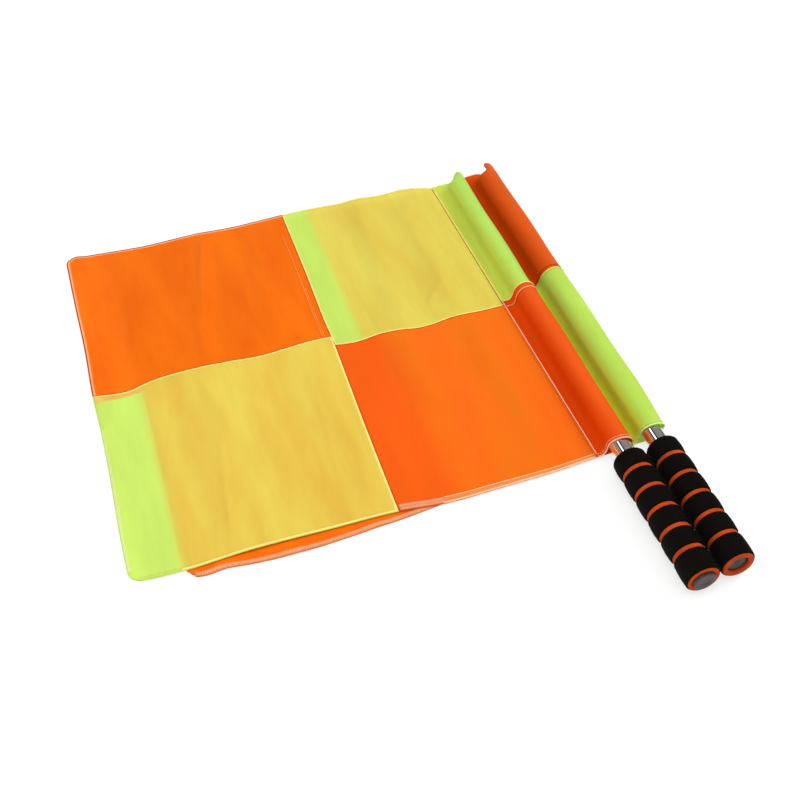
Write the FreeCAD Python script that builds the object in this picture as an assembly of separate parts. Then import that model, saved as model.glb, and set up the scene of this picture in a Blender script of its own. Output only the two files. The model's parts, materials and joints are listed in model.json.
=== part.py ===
import FreeCAD, Part
import math
import os

# A pair of linesman flags laid one on the other, as they are sold. Millimetres, +Z up.
# Places are first given from the near fly corner of the upper flag, with +X towards the poles
# and +Y towards the pole tips. The finished pair is moved so that the middle of its footprint,
# on the surface it lies on, is the origin.

# Pole
TUBE_DIAMETER = 19.0
TUBE_WALL = 0.6
TIP_INSET = 22.0  # from the far end of the sleeve back to the end of the pole
PLUG_SHANK = 12.0  # how far a plug reaches into the tube
PLUG_RIM = 1.7  # by which the head of the butt plug overlaps the end of the tube
PLUG_HEAD = 2.0

# Foam grip
GRIP_LENGTH = 135.0
FOAM_WALL = 5.5
GROOVE_COUNT = 5
GROOVE_START = 24.6  # from the butt to the middle of the first groove
GROOVE_END = 20.4  # from the middle of the last groove to the shoulder
GROOVE_WIDTH = 3.4
GROOVE_DEPTH = 1.3
BAND_EDGE = 1.2  # length of a band's sloping edge
SHOULDER_LENGTH = 3.0  # of the longer one at the end towards the cloth
LIP_DEPTH = 2.2  # foam pushed past the plug on the lower flag
GRIP_GAP = 2.9  # between the two grips at their butts

# Cloth
CLOTH = 0.4
HEM_WIDTH = 7.0
SEAM_WIDTH = 7.0
SEAM_TUCK = 1.2  # field edge caught between the two layers of the sleeve
CORNER_RADIUS = 10.0
VALLEY_RADIUS = 3.0  # where the sleeve leaves the flat and climbs over the pole
SLEEVE_LEAN = 6.0  # degrees from upright of the climbing cloth
FOLD_RADIUS = 6.0  # outer fold, where the cloth turns back under the pole
SLEEVE_FIT = 0.3  # clear space between pole and cloth
STACK_GAP = 0.3  # clear space between the flags

# Field of the flag
HOIST = 438.0  # along the pole
FLY = 412.0  # from the fly edge to the sleeve seam
CENTRE = 232.0  # from the fly edge to the centre seam
OVERRUN = 20.0  # by which cutting shapes pass what they cut

# How the sewing and the laying down of the upper flag depart from true squares
UPPER_SAG = 4.0  # near fly corner, towards the grips
UPPER_FLY_STEP = 6.0  # cross seam of the fly half, beyond the middle of the hoist
UPPER_HOIST_STEP = 2.0  # cross seam of the hoist half, short of the middle
UPPER_JOIN_STEP = 5.0  # colour joint of the sleeve, beyond the middle
UPPER_VALLEY = 9.0  # from the seam to the tube at the near end of the sleeve
UPPER_POLE_TURN = 0.92  # degrees, away from the seam towards the tip
UPPER_BARE_TUBE = 19.2  # between grip and sleeve
UPPER_SLACK = 0.6  # of the near half of the sleeve, which stands off from the pole
UPPER_PEAK_SHIFT = 5.8  # of the empty far end of the sleeve, away from the seam
UPPER_PEAK_HEIGHT = 6.5  # of the middle of its hump over the lie of the flag

# The same for the lower flag
LOWER_SHIFT = 36.0  # it lies this much further to the pole side
LOWER_GATHER = 8.0  # its fly edge, drawn in
LOWER_SAG = 15.0
LOWER_MOUTH = 5.0  # near end of its sleeve, towards the tip
LOWER_CROSS_STEP = 3.0
LOWER_JOIN_STEP = 16.0
LOWER_FAR_SAG = 8.0
LOWER_FAR_REACH = 3.0
LOWER_POLE_TURN = 1.22
LOWER_BARE_TUBE = 20.6
LOWER_SLACK = 2.3  # of its whole sleeve
LOWER_PEAK_SHIFT = 4.0
LOWER_PEAK_HEIGHT = 7.5

# Soft ridges that run along the hoist through both flags
RIDGE_HEIGHT = 4.0
RIDGE_CENTRE_SHARES = (0.300, 0.780)  # of FLY
RIDGE_HALF_WIDTH_SHARES = (0.125, 0.120)  # of FLY
RIDGE_HEIGHT_SHARES = (0.85, 1.00)  # of RIDGE_HEIGHT

TUBE_RADIUS = TUBE_DIAMETER / 2
BORE_RADIUS = TUBE_RADIUS - TUBE_WALL
PLUG_RADIUS = TUBE_RADIUS + PLUG_RIM
GRIP_RADIUS = TUBE_RADIUS + FOAM_WALL
CORE_RADIUS = GRIP_RADIUS - GROOVE_DEPTH
GROOVE_PITCH = (GRIP_LENGTH - GROOVE_START - GROOVE_END) / (GROOVE_COUNT - 1)
SLEEVE_STACK = 3 * CLOTH  # two layers of sleeve with the edge of the field between them
UPPER_MOUTH_X = FLY + UPPER_VALLEY + TUBE_RADIUS
UPPER_BUTT_X = UPPER_MOUTH_X - (GRIP_LENGTH + UPPER_BARE_TUBE) * math.sin(math.radians(UPPER_POLE_TURN))

UPPER = {
    "name": "upper",
    "base": SLEEVE_STACK + STACK_GAP,  # it lies on the sleeve seam of the lower flag
    "fly_x": 0,
    "centre_x": CENTRE,
    "seam_x": FLY,
    "near_fly_y": -UPPER_SAG,
    "near_hoist_y": 0,
    "cross_fly_y": HOIST / 2 + UPPER_FLY_STEP,
    "cross_hoist_y": HOIST / 2 - UPPER_HOIST_STEP,
    "sleeve_join_y": HOIST / 2 + UPPER_JOIN_STEP,
    "far_fly_y": HOIST,
    "far_hoist_y": HOIST,
    "butt_x": UPPER_BUTT_X,
    "pole_turn": UPPER_POLE_TURN,
    "bare_tube": UPPER_BARE_TUBE,
    "near_slack": UPPER_SLACK,
    "far_slack": 0,
    "peak_shift": UPPER_PEAK_SHIFT,
    "peak_height": UPPER_PEAK_HEIGHT,
    "lip": 0,
}
LOWER = {
    "name": "lower",
    "base": 0,
    "fly_x": LOWER_SHIFT + LOWER_GATHER,
    "centre_x": CENTRE + LOWER_SHIFT,
    "seam_x": FLY + LOWER_SHIFT,
    "near_fly_y": -LOWER_SAG,
    "near_hoist_y": LOWER_MOUTH,
    "cross_fly_y": HOIST / 2 + LOWER_CROSS_STEP,
    "cross_hoist_y": HOIST / 2 + LOWER_CROSS_STEP,
    "sleeve_join_y": HOIST / 2 + LOWER_JOIN_STEP,
    "far_fly_y": HOIST - LOWER_FAR_SAG,
    "far_hoist_y": HOIST + LOWER_FAR_REACH,
    "butt_x": UPPER_BUTT_X + 2 * GRIP_RADIUS + GRIP_GAP,
    "pole_turn": LOWER_POLE_TURN,
    "bare_tube": LOWER_BARE_TUBE,
    "near_slack": LOWER_SLACK,
    "far_slack": LOWER_SLACK,
    "peak_shift": LOWER_PEAK_SHIFT,
    "peak_height": LOWER_PEAK_HEIGHT,
    "lip": LIP_DEPTH,
}

# Plan limits of every cutting shape
LOW_X = UPPER["fly_x"] - OVERRUN
HIGH_X = LOWER["seam_x"] + OVERRUN
LOW_Y = LOWER["near_fly_y"] - OVERRUN
HIGH_Y = HOIST + OVERRUN


def vec(x, y, z):
    return FreeCAD.Vector(x, y, z)


def segment_wire(segments):
    """A wire of (start, through, end) segments. through is None on a straight one."""
    edges = []
    for start, through, end in segments:
        if through is None:
            edges.append(Part.makeLine(start, end))
        else:
            edges.append(Part.Arc(start, through, end).toShape())
    return Part.Wire(edges)


def edge_y(flag, side, x):
    """Y of the near or far edge of the field, a straight line from fly to sleeve."""
    share = (x - flag["fly_x"]) / (flag["seam_x"] - flag["fly_x"])
    return flag[side + "_fly_y"] + share * (flag[side + "_hoist_y"] - flag[side + "_fly_y"])


def revolved(points):
    """A body of revolution about +Y from (radius, place along the pole) points."""
    corners = [vec(radius, place, 0) for radius, place in points]
    face = Part.Face(Part.makePolygon(corners + [corners[0]]))
    return face.revolve(vec(0, 0, 0), vec(0, 1, 0), 360)


def band(start, end, end_length):
    """One ring of the black outer foam, with a sloping edge at each end."""
    return revolved([
        (CORE_RADIUS, start),
        (GRIP_RADIUS, start + BAND_EDGE),
        (GRIP_RADIUS, end - end_length),
        (CORE_RADIUS, end),
    ])


def grip_bands():
    rings = []
    start = 0
    for i in range(GROOVE_COUNT):
        groove = GROOVE_START + i * GROOVE_PITCH
        rings.append(band(start, groove - GROOVE_WIDTH / 2, BAND_EDGE))
        start = groove + GROOVE_WIDTH / 2
    rings.append(band(start, GRIP_LENGTH, SHOULDER_LENGTH))
    return Part.makeCompound(rings)


def butt_plug(face):
    """Its head covers the end of the tube, its outer face at face."""
    seat = face + PLUG_HEAD
    return revolved([
        (0, face),
        (PLUG_RADIUS, face),
        (PLUG_RADIUS, seat),
        (BORE_RADIUS, seat),
        (BORE_RADIUS, seat + PLUG_SHANK),
        (0, seat + PLUG_SHANK),
    ])


def pole_length(flag):
    """From the butt face of the grip to the tip."""
    sleeve = flag["far_hoist_y"] - flag["near_hoist_y"] - TIP_INSET
    return GRIP_LENGTH + flag["bare_tube"] + sleeve / math.cos(math.radians(flag["pole_turn"]))


def pole_slope(flag):
    """Fall of the pole from the grip, which lies on the surface, to the tip in its sleeve."""
    tip_height = flag["base"] + CLOTH + SLEEVE_FIT + TUBE_RADIUS
    return math.asin((GRIP_RADIUS - tip_height) / (pole_length(flag) - GRIP_LENGTH))


def butt_point(flag):
    """The middle of the butt face of the grip."""
    reach = GRIP_LENGTH + flag["bare_tube"]
    y = flag["near_hoist_y"] - reach * math.cos(math.radians(flag["pole_turn"]))
    z = GRIP_RADIUS + GRIP_LENGTH * math.sin(pole_slope(flag))
    return vec(flag["butt_x"], y, z)


def pole_direction(flag):
    turn = math.radians(flag["pole_turn"])
    slope = pole_slope(flag)
    flat = math.cos(slope)
    return vec(math.sin(turn) * flat, math.cos(turn) * flat, -math.sin(slope))


def pole_at(flag, y):
    """X and Z of the pole's axis where it crosses y."""
    start = butt_point(flag)
    way = pole_direction(flag)
    reach = (y - start.y) / way.y
    return start.x + reach * way.x, start.z + reach * way.z


def on_pole(flag, shape):
    """Moves a shape built about +Y from the origin onto the pole's axis."""
    turned = shape.copy()
    turned.rotate(vec(0, 0, 0), vec(1, 0, 0), -math.degrees(pole_slope(flag)))
    turned.rotate(vec(0, 0, 0), vec(0, 0, 1), -flag["pole_turn"])
    turned.translate(butt_point(flag))
    return turned


def pole_parts(flag):
    """Tube, its two plugs and the foam grip, each about the pole's axis."""
    lip = flag["lip"]
    length = pole_length(flag)
    core = [(TUBE_RADIUS, 0), (CORE_RADIUS, 0), (CORE_RADIUS, GRIP_LENGTH), (TUBE_RADIUS, GRIP_LENGTH)]
    if lip > 0:
        face = lip
        seat = lip + PLUG_HEAD
        core += [(TUBE_RADIUS, seat), (PLUG_RADIUS, seat), (PLUG_RADIUS, lip), (TUBE_RADIUS, lip)]
    else:
        face = -PLUG_HEAD
        seat = 0
    tube = [(BORE_RADIUS, seat), (TUBE_RADIUS, seat), (TUBE_RADIUS, length), (BORE_RADIUS, length)]
    tip = [(0, length - PLUG_SHANK), (BORE_RADIUS, length - PLUG_SHANK), (BORE_RADIUS, length), (0, length)]
    parts = {
        "pole_tube": revolved(tube),
        "butt_plug": butt_plug(face),
        "tip_plug": revolved(tip),
        "grip_core": revolved(core),
        "grip_bands": grip_bands(),
    }
    return {name: on_pole(flag, shape) for name, shape in parts.items()}


def ridge_line(z):
    """The edges of one line across the field, from left to right: flat cloth with a soft ridge of
    three arcs at each ridge centre."""
    segments = []
    here = vec(LOW_X, LOW_Y, z)
    ridges = zip(RIDGE_CENTRE_SHARES, RIDGE_HALF_WIDTH_SHARES, RIDGE_HEIGHT_SHARES)
    for centre_share, width_share, height_share in ridges:
        middle = centre_share * FLY
        half = width_share * FLY
        height = height_share * RIDGE_HEIGHT
        radius = (half * half + height * height) / (4 * height)
        angle = math.asin(half / (2 * radius))
        sag = radius * (1 - math.cos(angle / 2))
        step = radius * math.sin(angle / 2)
        foot = vec(middle - half, LOW_Y, z)
        rise = vec(middle - half / 2, LOW_Y, z + height / 2)
        fall = vec(middle + half / 2, LOW_Y, z + height / 2)
        last = vec(middle + half, LOW_Y, z)
        segments.append((here, None, foot))
        segments.append((foot, vec(foot.x + step, LOW_Y, z + sag), rise))
        segments.append((rise, vec(middle, LOW_Y, z + height), fall))
        segments.append((fall, vec(last.x - step, LOW_Y, z + sag), last))
        here = last
    segments.append((here, None, vec(HIGH_X, LOW_Y, z)))
    return segments


def slab(lift):
    """One thickness of ridged cloth, larger than the field, whose underside lies at lift."""
    under = ridge_line(lift)
    over = [(end, through, start) for start, through, end in reversed(ridge_line(lift + CLOTH))]
    right = (under[-1][2], None, over[0][0])
    left = (over[-1][2], None, under[0][0])
    return Part.Face(segment_wire(under + [right] + over + [left])).extrude(vec(0, HIGH_Y - LOW_Y, 0))


def outline(points, rounded=()):
    """A closed wire through plan points, with the numbered corners rounded."""
    edges = []
    count = len(points)
    starts = []
    ends = []
    for i, (x, y) in enumerate(points):
        corner = vec(x, y, 0)
        if i in rounded:
            back = vec(*points[i - 1], 0) - corner
            ahead = vec(*points[(i + 1) % count], 0) - corner
            half = back.getAngle(ahead) / 2
            reach = CORNER_RADIUS / math.tan(half)
            back.normalize()
            ahead.normalize()
            middle = back + ahead
            middle.normalize()
            first = corner + back * reach
            last = corner + ahead * reach
            near = corner + middle * (CORNER_RADIUS / math.sin(half) - CORNER_RADIUS)
            edges.append(Part.Arc(first, near, last).toShape())
            ends.append(first)
            starts.append(last)
        else:
            ends.append(corner)
            starts.append(corner)
    for i in range(count):
        edges.append(Part.makeLine(starts[i], ends[(i + 1) % count]))
    return Part.Wire(Part.__sortEdges__(edges))


def prism(points, rounded=()):
    """Everything above and below a plan outline."""
    face = Part.Face(outline(points, rounded))
    face.translate(vec(0, 0, -OVERRUN))
    return face.extrude(vec(0, 0, 2 * OVERRUN))


def patch(cloth, points, rounded=()):
    """The piece of a cloth slab inside a plan outline."""
    return cloth.common(prism(points, rounded)).Solids[0]


def field_parts(flag, hems, panels):
    """Four quarters, the hems under three edges and the seam allowances under the joins."""
    fly = flag["fly_x"]
    centre = flag["centre_x"]
    seam = flag["seam_x"]
    tucked = seam + SEAM_TUCK
    cross_fly = flag["cross_fly_y"]
    cross_hoist = flag["cross_hoist_y"]

    def near(x, inset=0):
        return x, edge_y(flag, "near", x) + inset

    def far(x, inset=0):
        return x, edge_y(flag, "far", x) - inset

    parts = {}
    parts["field_far_fly"] = patch(
        panels, [(fly, cross_fly), (centre, cross_fly), far(centre), far(fly)], (3,))
    parts["field_near_fly"] = patch(
        panels, [near(fly), near(centre), (centre, cross_fly), (fly, cross_fly)], (0,))
    parts["field_far_hoist"] = patch(
        panels, [(centre, cross_hoist), (tucked, cross_hoist), far(tucked), far(centre)])
    parts["field_near_hoist"] = patch(
        panels, [near(centre), near(tucked), (tucked, cross_hoist), (centre, cross_hoist)])
    inner = fly + HEM_WIDTH
    whole = patch(hems, [near(fly), near(seam), far(seam), far(fly)], (0, 3))
    parts["hem_fly"] = patch(whole, [near(fly), near(inner), far(inner), far(fly)])
    parts["hem_near"] = patch(
        hems, [near(inner), near(seam), near(seam, HEM_WIDTH), near(inner, HEM_WIDTH)])
    parts["hem_far"] = patch(
        hems, [far(inner, HEM_WIDTH), far(seam, HEM_WIDTH), far(seam), far(inner)])
    left = centre - SEAM_WIDTH
    parts["seam_centre"] = patch(
        hems, [near(left, HEM_WIDTH), near(centre, HEM_WIDTH), far(centre, HEM_WIDTH), far(left, HEM_WIDTH)])
    low = cross_fly - SEAM_WIDTH
    parts["seam_cross_fly"] = patch(
        hems, [(inner, low), (left, low), (left, cross_fly), (inner, cross_fly)])
    high = cross_hoist + SEAM_WIDTH
    parts["seam_cross_hoist"] = patch(
        hems, [(centre, cross_hoist), (seam, cross_hoist), (seam, high), (centre, high)])
    return parts


def sleeve_top(flag, y, hump, grow=0, start=0):
    """The upper side of the sleeve's section at y as (start, through, end) segments, from the
    outer fold over the hump and through the valley to the seam. hump is (x, z, radius) of the
    outside of the cloth over the pole, grow offsets the line outwards and start moves its end at
    the seam."""
    middle_x, middle_z, radius = hump
    top = flag["base"] + SLEEVE_STACK
    lean = math.radians(SLEEVE_LEAN)
    outer = radius + grow
    inner = VALLEY_RADIUS - grow
    side = middle_x + outer
    touch_x = middle_x - radius * math.cos(lean)
    touch_z = middle_z + radius * math.sin(lean)
    foot_z = top + VALLEY_RADIUS * (1 - math.sin(lean))
    foot_x = touch_x - (touch_z - foot_z) * math.tan(lean)
    valley_x = foot_x - VALLEY_RADIUS * math.cos(lean)
    valley_z = top + VALLEY_RADIUS

    def around(x, z, r, angle):
        return vec(x + r * math.cos(angle), y, z + r * math.sin(angle))

    rim = vec(side, y, flag["base"] + FOLD_RADIUS)
    flank = vec(side, y, middle_z)
    peak = vec(middle_x, y, middle_z + outer)
    crown = (3 * math.pi / 2 - lean) / 2
    touch = around(middle_x, middle_z, outer, math.pi - lean)
    foot = around(valley_x, valley_z, inner, -lean)
    sink = -(math.pi / 2 + lean) / 2
    valley = vec(valley_x, y, top + grow)
    return [
        (rim, None, flank),
        (flank, around(middle_x, middle_z, outer, math.pi / 4), peak),
        (peak, around(middle_x, middle_z, outer, crown), touch),
        (touch, None, foot),
        (foot, around(valley_x, valley_z, inner, sink), valley),
        (valley, None, vec(flag["seam_x"] + start, y, top + grow)),
    ]


def sleeve_wire(flag, y, hump, grow=0, start=0):
    """The closed section of the sleeve at y, its top joined to the flat layer under the pole."""
    middle_x, middle_z, radius = hump
    floor = flag["base"] - grow
    fold_x = middle_x + radius - FOLD_RADIUS
    fold_z = flag["base"] + FOLD_RADIUS
    reach = (FOLD_RADIUS + grow) * math.sqrt(0.5)
    under = vec(fold_x, y, floor)
    turn = vec(fold_x + reach, y, fold_z - reach)
    rim = vec(middle_x + radius + grow, y, fold_z)
    corner = vec(flag["seam_x"] + start, y, floor)
    segments = [(corner, None, under), (under, turn, rim)] + sleeve_top(flag, y, hump, grow, start)
    segments.append((segments[-1][2], None, corner))
    return segment_wire(segments)


def sleeve_hump(flag, y, slack):
    """The hump of cloth over the pole at y. Slack cloth stands off on the side away from the seam."""
    x, z = pole_at(flag, y)
    return x + slack, z, TUBE_RADIUS + SLEEVE_FIT + CLOTH + slack


def sleeve_solid(flag, stations, grow=0, start=0):
    wires = [sleeve_wire(flag, y, hump, grow, start) for y, hump in stations]
    return Part.makeLoft(wires, True, True)


def sleeve_parts(flag):
    """The sleeve in its two colours. Past the tip of the pole its far end falls and spreads."""
    join_y = flag["sleeve_join_y"]
    far_y = flag["far_hoist_y"]
    tip = sleeve_hump(flag, far_y - TIP_INSET, flag["far_slack"])
    peak_x = pole_at(flag, far_y)[0] + flag["peak_shift"]
    peak = (peak_x, flag["base"] + flag["peak_height"], tip[2])
    near_run = [(y, sleeve_hump(flag, y, flag["near_slack"])) for y in (flag["near_hoist_y"], join_y)]
    join = sleeve_hump(flag, join_y, flag["far_slack"])
    far_run = [(join_y, join), (far_y - TIP_INSET, tip), (far_y, peak)]
    parts = {}
    for name, run in (("sleeve_near", near_run), ("sleeve_far", far_run)):
        hollow = sleeve_solid(flag, run, -CLOTH, -SEAM_TUCK)
        parts[name] = sleeve_solid(flag, run).cut(hollow).Solids[0]
    return parts


def flag_parts(flag):
    base = flag["base"]
    parts = pole_parts(flag)
    parts.update(field_parts(flag, slab(base), slab(base + CLOTH)))
    parts.update(sleeve_parts(flag))
    return parts


def footprint_middle(shapes):
    """The middle of the tight box round all pieces, on the surface they lie on."""
    box = FreeCAD.BoundBox()
    for shape in shapes:
        box.add(shape.optimalBoundingBox(False, False))
    return vec((box.XMin + box.XMax) / 2, (box.YMin + box.YMax) / 2, 0)


os.makedirs("parts", exist_ok=True)
nodes = {}
for flag in (LOWER, UPPER):
    for name, shape in flag_parts(flag).items():
        nodes[flag["name"] + "_" + name] = shape

ORIGIN = footprint_middle(nodes.values())
for name, shape in nodes.items():
    shape.translate(-ORIGIN)
    shape.exportStep("parts/" + name + ".step")
    print(name, len(shape.Solids), shape.isValid(), round(shape.Volume, 1))
print("origin", ORIGIN)
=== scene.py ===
import json
import math
import random

import bpy
import numpy as np
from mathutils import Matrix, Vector


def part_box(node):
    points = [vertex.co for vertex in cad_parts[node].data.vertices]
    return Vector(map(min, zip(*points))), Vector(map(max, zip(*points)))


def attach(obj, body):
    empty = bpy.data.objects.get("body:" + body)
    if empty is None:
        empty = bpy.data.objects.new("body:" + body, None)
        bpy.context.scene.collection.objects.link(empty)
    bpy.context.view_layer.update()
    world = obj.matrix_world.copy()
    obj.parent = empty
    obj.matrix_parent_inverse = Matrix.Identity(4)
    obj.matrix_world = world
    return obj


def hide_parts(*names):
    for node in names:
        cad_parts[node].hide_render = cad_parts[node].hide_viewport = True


# Two linesman flags lying one on the other. Places are first given in millimetres from the near
# fly corner of the upper flag, +X towards the poles and +Y towards the pole tips, and are moved
# onto the frame when a mesh is made.

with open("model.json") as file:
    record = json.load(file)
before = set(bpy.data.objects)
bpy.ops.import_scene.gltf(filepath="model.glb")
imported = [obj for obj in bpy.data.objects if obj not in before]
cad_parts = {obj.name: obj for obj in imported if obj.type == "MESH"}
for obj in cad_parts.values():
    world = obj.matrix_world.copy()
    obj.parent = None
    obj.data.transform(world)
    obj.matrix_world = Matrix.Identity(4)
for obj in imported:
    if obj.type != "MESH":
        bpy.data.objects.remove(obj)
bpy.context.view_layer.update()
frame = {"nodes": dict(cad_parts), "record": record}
rng = random.Random(7)

MM = 1000  # millimetres in a metre
HOIST = 438.0
corner_low, corner_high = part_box("upper_field_far_fly")
SHIFT = np.array([-corner_low[0] * MM, HOIST - corner_high[1] * MM, 0.0])

# Rows of the field that several shapes share, along Y
NEAR_Y = -4.0
SEAM_Y = 219.0
MID_Y = 222.0
FAR_Y = 436.0
WIDTH = 412.0  # of the upper field, from its fly edge to the sleeve seam

CLOTH = 0.34  # thickness of a quarter or sleeve
BAND = 0.3  # thickness of a hem or seam allowance
CORNER = 9.0  # radius of the fly corners
GRID_STEP = 2.2  # between the rows of points on a quarter
LINE_STEP = 2.5  # between the points of a line over the cloth
SLEEVE_STEP = 3.0  # between the sections of a sleeve
END_PULL = 26  # how far in from a sleeve's ends its cloth follows their slant
SECTION = 120  # points round a sleeve
SIDES = 96  # of a turned piece
TUBE = 9.5  # radius
FOLD_GAIN = 2.3  # of the folds, away from edges and seams
TINY = 1e-9


# Small tools

def spline(knots, x):
    """A smooth curve through (place, value) knots, flat past its ends."""
    places = np.array([k[0] for k in knots], float)
    values = np.array([k[1] for k in knots], float)
    x = np.clip(np.asarray(x, float), places[0], places[-1])
    slopes = np.gradient(values, places)
    i = np.clip(np.searchsorted(places, x, side="right") - 1, 0, len(places) - 2)
    span = places[i + 1] - places[i]
    t = (x - places[i]) / span
    a = values[i] * (2 * t**3 - 3 * t**2 + 1) + values[i + 1] * (3 * t**2 - 2 * t**3)
    return a + span * (slopes[i] * (t**3 - 2 * t**2 + t) + slopes[i + 1] * (t**3 - t**2))


def smooth(t):
    """From 0 to 1 with level ends."""
    t = np.clip(t, 0, 1)
    return t * t * (3 - 2 * t)


def lengths_along(points):
    """The way from the first point to each point of a polyline."""
    return np.concatenate([[0], np.cumsum(np.linalg.norm(np.diff(points, axis=0), axis=1))])


def pick(at, way, rows):
    """The rows, read at places along the way."""
    return np.stack([np.interp(at, way, column) for column in np.asarray(rows, float).T], axis=1)


def resample(points, count):
    """The polyline with count points evenly spaced along it."""
    way = lengths_along(points)
    return pick(np.linspace(0, way[-1], count), way, points)


def rounded(points, count, passes=2):
    """A smooth line along the points: corners are cut a few times, then it is evenly spaced."""
    points = np.asarray(points, float)
    for _ in range(passes):
        ahead = points[1:]
        back = points[:-1]
        cut = np.empty((2 * len(back), points.shape[1]))
        cut[0::2] = 0.75 * back + 0.25 * ahead
        cut[1::2] = 0.25 * back + 0.75 * ahead
        points = np.concatenate([points[:1], cut, points[-1:]])
    return resample(points, count)


def unit(vectors):
    """Vectors of length 1, along the last axis."""
    return vectors / np.maximum(np.linalg.norm(vectors, axis=-1, keepdims=True), TINY)


def add_mesh(name, shape, material, body, nodes=()):
    """A piece from its points in millimetres and its faces, on a body and standing for its CAD nodes."""
    verts, faces = shape
    mesh = bpy.data.meshes.new(name)
    places = (np.asarray(verts, float) - SHIFT) / MM
    mesh.from_pydata(places.tolist(), [], faces)
    mesh.polygons.foreach_set("use_smooth", [True] * len(mesh.polygons))
    mesh.materials.append(material)
    mesh.update()
    piece = bpy.data.objects.new(name, mesh)
    bpy.context.scene.collection.objects.link(piece)
    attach(piece, body)
    if nodes:
        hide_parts(*nodes)
    return piece


def grid_normals(grid):
    return unit(np.cross(np.gradient(grid, axis=0), np.gradient(grid, axis=1)))


def sheet_mesh(grid, thickness):
    """A closed thin sheet whose upper side is the grid of points."""
    n, m, _ = grid.shape
    under = grid - grid_normals(grid) * thickness
    verts = np.concatenate([grid.reshape(-1, 3), under.reshape(-1, 3)])
    size = n * m
    i, j = np.meshgrid(np.arange(n - 1), np.arange(m - 1), indexing="ij")
    a = (i * m + j).ravel()
    top = np.stack([a, a + m, a + m + 1, a + 1], axis=1)
    faces = np.concatenate([top, (top + size)[:, ::-1]]).tolist()
    border = [k for k in range(m)] + [r * m + m - 1 for r in range(1, n)]
    border += [(n - 1) * m + k for k in range(m - 2, -1, -1)] + [r * m for r in range(n - 2, 0, -1)]
    for k, here in enumerate(border):
        ahead = border[(k + 1) % len(border)]
        faces.append([here, ahead, ahead + size, here + size])
    return verts, faces


def skin(count, sides, closed=False):
    """Faces between rings of points, closed into a ring of rings or with a face at each end."""
    faces = []
    for ring in range(count if closed else count - 1):
        here, ahead = ring * sides, (ring + 1) % count * sides
        for k in range(sides):
            kk = (k + 1) % sides
            faces.append([here + k, here + kk, ahead + kk, ahead + k])
    if not closed:
        faces.append(list(range(sides - 1, -1, -1)))
        faces.append([(count - 1) * sides + k for k in range(sides)])
    return faces


def ring_tube(points, normals, width, height, sides=8):
    """A flattened cord along the points: width across, height along the normals."""
    tangents = unit(np.gradient(points, axis=0))
    across = unit(np.cross(tangents, normals))
    up = np.cross(across, tangents)
    angles = np.linspace(0, 2 * math.pi, sides, endpoint=False)
    rings = (points[:, None] + across[:, None] * (np.cos(angles) * width / 2)[None, :, None]
             + up[:, None] * (np.sin(angles) * height / 2)[None, :, None])
    return rings.reshape(-1, 3), skin(len(points), sides)


def join_meshes(parts):
    """Several (points, faces) pairs as one."""
    verts, faces, offset = [], [], 0
    for v, f in parts:
        verts.append(np.asarray(v, float))
        faces += [[k + offset for k in face] for face in f]
        offset += len(v)
    return np.concatenate(verts), faces


def walk(points, normals, pitch):
    """Places every pitch millimetres along a line, with the normals there."""
    way = lengths_along(points)
    at = np.arange(pitch / 2, way[-1], pitch)
    reach = 0.3
    tangent = unit(pick(at + reach, way, points) - pick(at - reach, way, points))
    return pick(at, way, points), unit(pick(at, way, normals)), tangent


def stitch_row(points, normals, pitch=2.6, length=1.9, width=0.45, height=0.3):
    """A row of lockstitches, each a small spindle of thread."""
    place, normal, tangent = walk(points, normals, pitch)
    parts = []
    for p, n, t in zip(place, normal, tangent):
        a = np.cross(t, n)
        half = t * length / 2 * (1 + rng.uniform(-0.06, 0.06))
        verts = [p - half, p + half]
        for shift in (-0.22, 0.22):
            c = p + t * length * shift
            verts += [c + a * width / 2, c + n * height, c - a * width / 2, c - n * height * 0.4]
        faces = []
        for k in range(4):
            kk = (k + 1) % 4
            faces.append([0, 2 + kk, 2 + k])
            faces.append([2 + k, 2 + kk, 6 + kk, 6 + k])
            faces.append([1, 6 + k, 6 + kk])
        parts.append((verts, faces))
    return join_meshes(parts)


def zigzag(points, normals, width, pitch, thread):
    """The slanting threads of an overlocked edge, laid to and fro across a line."""
    place, normal, tangent = walk(points, normals, pitch / 2)
    across = np.cross(tangent, normal)
    side = np.where(np.arange(len(place)) % 2 == 0, 0.5, -0.5)[:, None]
    wobble = np.array([rng.uniform(0.9, 1.05) for _ in place])[:, None]
    line = place + across * side * width * wobble
    count = len(line) * 2 - 1
    return ring_tube(resample(line, count), resample(normal, count), thread, thread * 0.8, sides=4)


# The lie of the cloth

# Height of the upper flag's surface along its far edge, its cross seam and its near edge
UPPER_HIGH = {
    "far": [(0, 0.8), (36, 2.0), (66, 2.5), (100, 3.0), (138, 3.5), (187, 3.6), (236, 5.5), (293, 6.5),
            (353, 6.4), (398, 4.6), (412, 2.6)],
    "cross": [(0, 0.7), (36, 0.9), (48, 2.5), (60, 3.5), (98, 4.5), (127, 3.5), (159, 2.6), (191, 3.5),
              (212, 4.0), (232, 3.4), (253, 2.1), (281, 4.0), (301, 3.6), (317, 2.0), (332, 2.1),
              (353, 4.0), (386, 3.4), (412, 2.6)],
    "near": [(0, 0.45), (43, 1.3), (96, 3.0), (168, 2.2), (228, 1.9), (267, 1.5), (318, 1.5), (376, 1.9),
             (412, 2.4)],
}
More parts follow.
